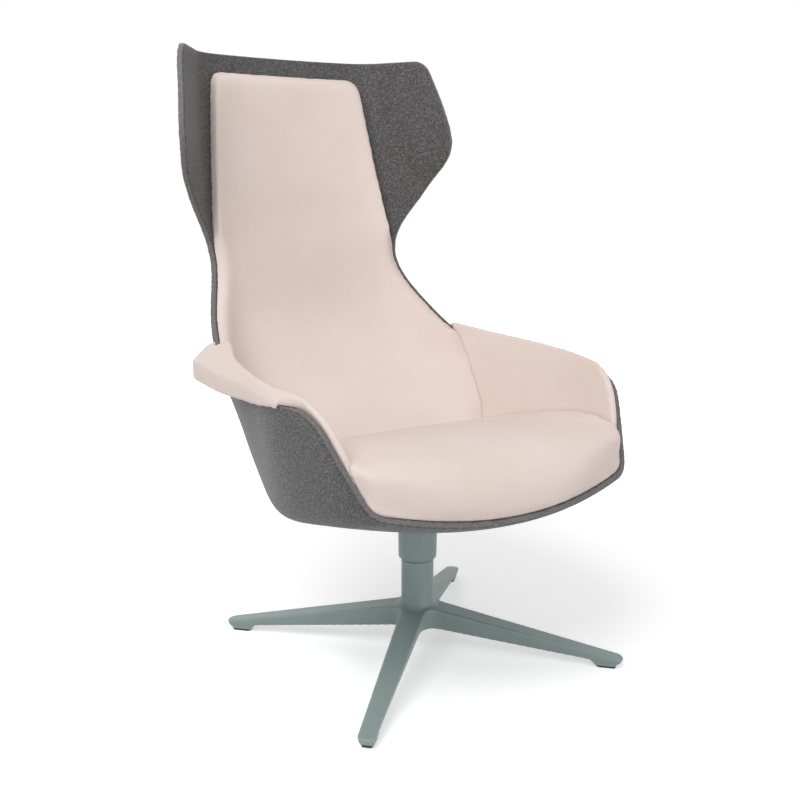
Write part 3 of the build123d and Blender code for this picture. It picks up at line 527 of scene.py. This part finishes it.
def softenFree(piece, shares, rounds):
    # smoothing with a share for each point, so that what lies on something keeps its place
    group = piece.vertex_groups.new(name="free")
    for index, share in enumerate(shares):
        if share > 0:
            group.add([index], float(share), "REPLACE")
    soften = piece.modifiers.new("soften", "SMOOTH")
    soften.factor = softenFactor
    soften.iterations = rounds
    soften.vertex_group = "free"
    applyModifiers(piece)
    piece.vertex_groups.clear()


def swelling(pad, node):
    # pressure inside a closed cover, held where it lies on something; it is worked out on a coarse
    # copy, whose triangles and movements are given back
    coarse = bpy.data.objects.new("cover", pad.data.copy())
    bpy.context.scene.collection.objects.link(coarse)
    remesh(coarse, cover["voxel"], cover["smoothing"])
    before = pointsOf(coarse.data)
    held = np.flatnonzero(nearness(coarse.data, node, cover["reach"])[0] < cover["heldCoarse"])
    coarse.vertex_groups.new(name="held").add(held.tolist(), 1.0, "REPLACE")
    sheet = coarse.modifiers.new("sheet", "CLOTH")
    sheet.settings.quality = cover["quality"]
    sheet.settings.vertex_group_mass = "held"
    sheet.settings.use_pressure = True
    sheet.settings.uniform_pressure_force = cover["pressure"]
    sheet.settings.effector_weights.gravity = 0
    sheet.point_cache.frame_end = cover["frames"]
    for step in range(1, cover["frames"] + 1):
        bpy.context.scene.frame_set(step)
    applyModifiers(coarse)
    bpy.context.scene.frame_set(1)
    moves = pointsOf(coarse.data) - before
    coarse.data.calc_loop_triangles()
    corners = np.array([triangle.vertices for triangle in coarse.data.loop_triangles])
    bpy.data.objects.remove(coarse)
    return before, corners, moves


def passedOn(points, before, corners, moves):
    # the coarse cover's movement at each point of the fine one
    tree = BVHTree.FromPolygons([Vector(point) for point in before], corners.tolist())
    passed = np.zeros_like(points)
    for index, point in enumerate(points):
        spot, normal, face, distance = tree.find_nearest(Vector(point))
        ends = corners[face]
        shares = poly_3d_calc([Vector(before[end]) for end in ends], spot)
        passed[index] = np.array(shares) @ moves[ends]
    return passed


for name, values in padding.items():
    pad = weldedCopy(values["node"], name)
    remesh(pad, values["voxel"], values["rough"])
    points = pointsOf(pad.data)
    near, spots = nearness(pad.data, values["node"], cover["reach"])
    # the smoothed edges are laid back against the neighbours, so that the seams stay narrow
    room = np.maximum(near - cover["clearance"], 0) / np.maximum(near, cover["clearance"])
    free = eased(near, cover["held"], cover["soft"])
    movePoints(pad.data, points + ((1 - free) * room)[:, None] * (spots - points))
    softenFree(pad, free, values["rounds"])
    lift = eased(near, cover["held"], cover["reach"])[:, None]
    points = pointsOf(pad.data) - normalsOf(pad.data) * values["sink"] * lift
    movePoints(pad.data, points)
    move = passedOn(points, *swelling(pad, values["node"]))
    length = np.linalg.norm(move, axis=1).max()
    points = points + lift * move * min(1, values["cap"] / length)
    print(name, "swells by up to", round(float(length) / mm, 1), "mm before it is capped")
    movePoints(pad.data, points)
    softenFree(pad, cover["lastShare"] + (1 - cover["lastShare"]) * free, cover["lastRounds"])
    shadeSmooth(pad)
    dress(pad, [values["node"]], "upholstery", "seat")
    print(name, "made,", len(pad.data.vertices), "points")


# floor, light and camera

studio = {
    "skyStrength": 0.35, "floorHalf": 12, "floorColour": "#F4F4F4",
    # the floor's own glow turns it white with distance
    "glowNear": 0.42, "glowFar": 1.0, "glowFrom": 0.8, "glowTo": 3.0, "aim": (0, 0, 0.55),
    "key": {"place": (-1.9, -0.9, 3.3), "size": 3.0, "power": 92},
    "fill": {"place": (0.9, -3.0, 1.4), "size": 2.4, "power": 24},
    "back": {"place": (0.6, 2.8, 2.6), "size": 2.0, "power": 18},
}


def lightAt(name, values, aim):
    lamp = bpy.data.lights.new(name, "AREA")
    lamp.shape = "DISK"
    lamp.size = values["size"]
    lamp.energy = values["power"]
    holder = bpy.data.objects.new(name, lamp)
    holder.location = values["place"]
    holder.rotation_euler = (Vector(aim) - holder.location).to_track_quat("-Z", "Y").to_euler()
    bpy.context.scene.collection.objects.link(holder)


for name in ("key", "fill", "back"):
    lightAt(name, studio[name], studio["aim"])


def seenDirectly(owner):
    # 1 where the camera looks, straight or through a gloss or a glass
    seen = addNode(owner, "LightPath", out="Is Camera Ray")
    for ray in ("Is Glossy Ray", "Is Transmission Ray"):
        seen = addNode(owner, "Math", {
            0: seen, 1: addNode(owner, "LightPath", out=ray)}, operation="MAXIMUM")
    return seen


world = bpy.data.worlds.new("studio")
bpy.context.scene.world = world
world.use_nodes = True
world.node_tree.nodes.clear()
sky = addNode(world, "Background", {
    "Color": linear("#FFFFFF"), "Strength": studio["skyStrength"]})
white = addNode(world, "Background", {"Color": linear("#FFFFFF"), "Strength": 1.0})
addNode(world, "OutputWorld", {
    "Surface": addNode(world, "MixShader", {0: seenDirectly(world), 1: sky, 2: white})})

floorMesh = bpy.data.meshes.new("floor")
half = studio["floorHalf"]
corners = [(-half, -half, 0), (half, -half, 0), (half, half, 0), (-half, half, 0)]
floorMesh.from_pydata(corners, [], [(0, 1, 2, 3)])
floor = bpy.data.objects.new("floor", floorMesh)
bpy.context.scene.collection.objects.link(floor)
paper, paperPlace = newMaterial("whiteStudioPaper")
away = addNode(paper, "VectorMath", {0: paperPlace}, out="Value", operation="LENGTH")
glow = addNode(paper, "MapRange", {
    "Value": away, "From Min": studio["glowFrom"], "From Max": studio["glowTo"],
    "To Min": studio["glowNear"], "To Max": studio["glowFar"]})
shine = addNode(paper, "Emission", {
    "Color": linear("#FFFFFF"),
    "Strength": addNode(paper, "Math", {0: seenDirectly(paper), 1: glow}, operation="MULTIPLY")})
matt = addNode(paper, "BsdfDiffuse", {"Color": linear(studio["floorColour"])})
addNode(paper, "OutputMaterial", {"Surface": addNode(paper, "AddShader", {0: matt, 1: shine})})
floorMesh.materials.append(paper)

view = {"place": (-1.0156, -1.5751, 0.8827), "tilt": 78.47, "turn": -31.77, "lens": 45.49, "sensor": 36}
cameraData = bpy.data.cameras.new("camera")
cameraData.sensor_width = view["sensor"]
cameraData.lens = view["lens"]
camera = bpy.data.objects.new("camera", cameraData)
camera.location = Vector(view["place"]) + Vector((0, swivelY, 0))  # placed from the swivel axis
camera.rotation_euler = (radians(view["tilt"]), 0, radians(view["turn"]))
bpy.context.scene.collection.objects.link(camera)
bpy.context.scene.camera = camera
bpy.context.scene.view_settings.view_transform = "Standard"
print("floor, light and camera made")
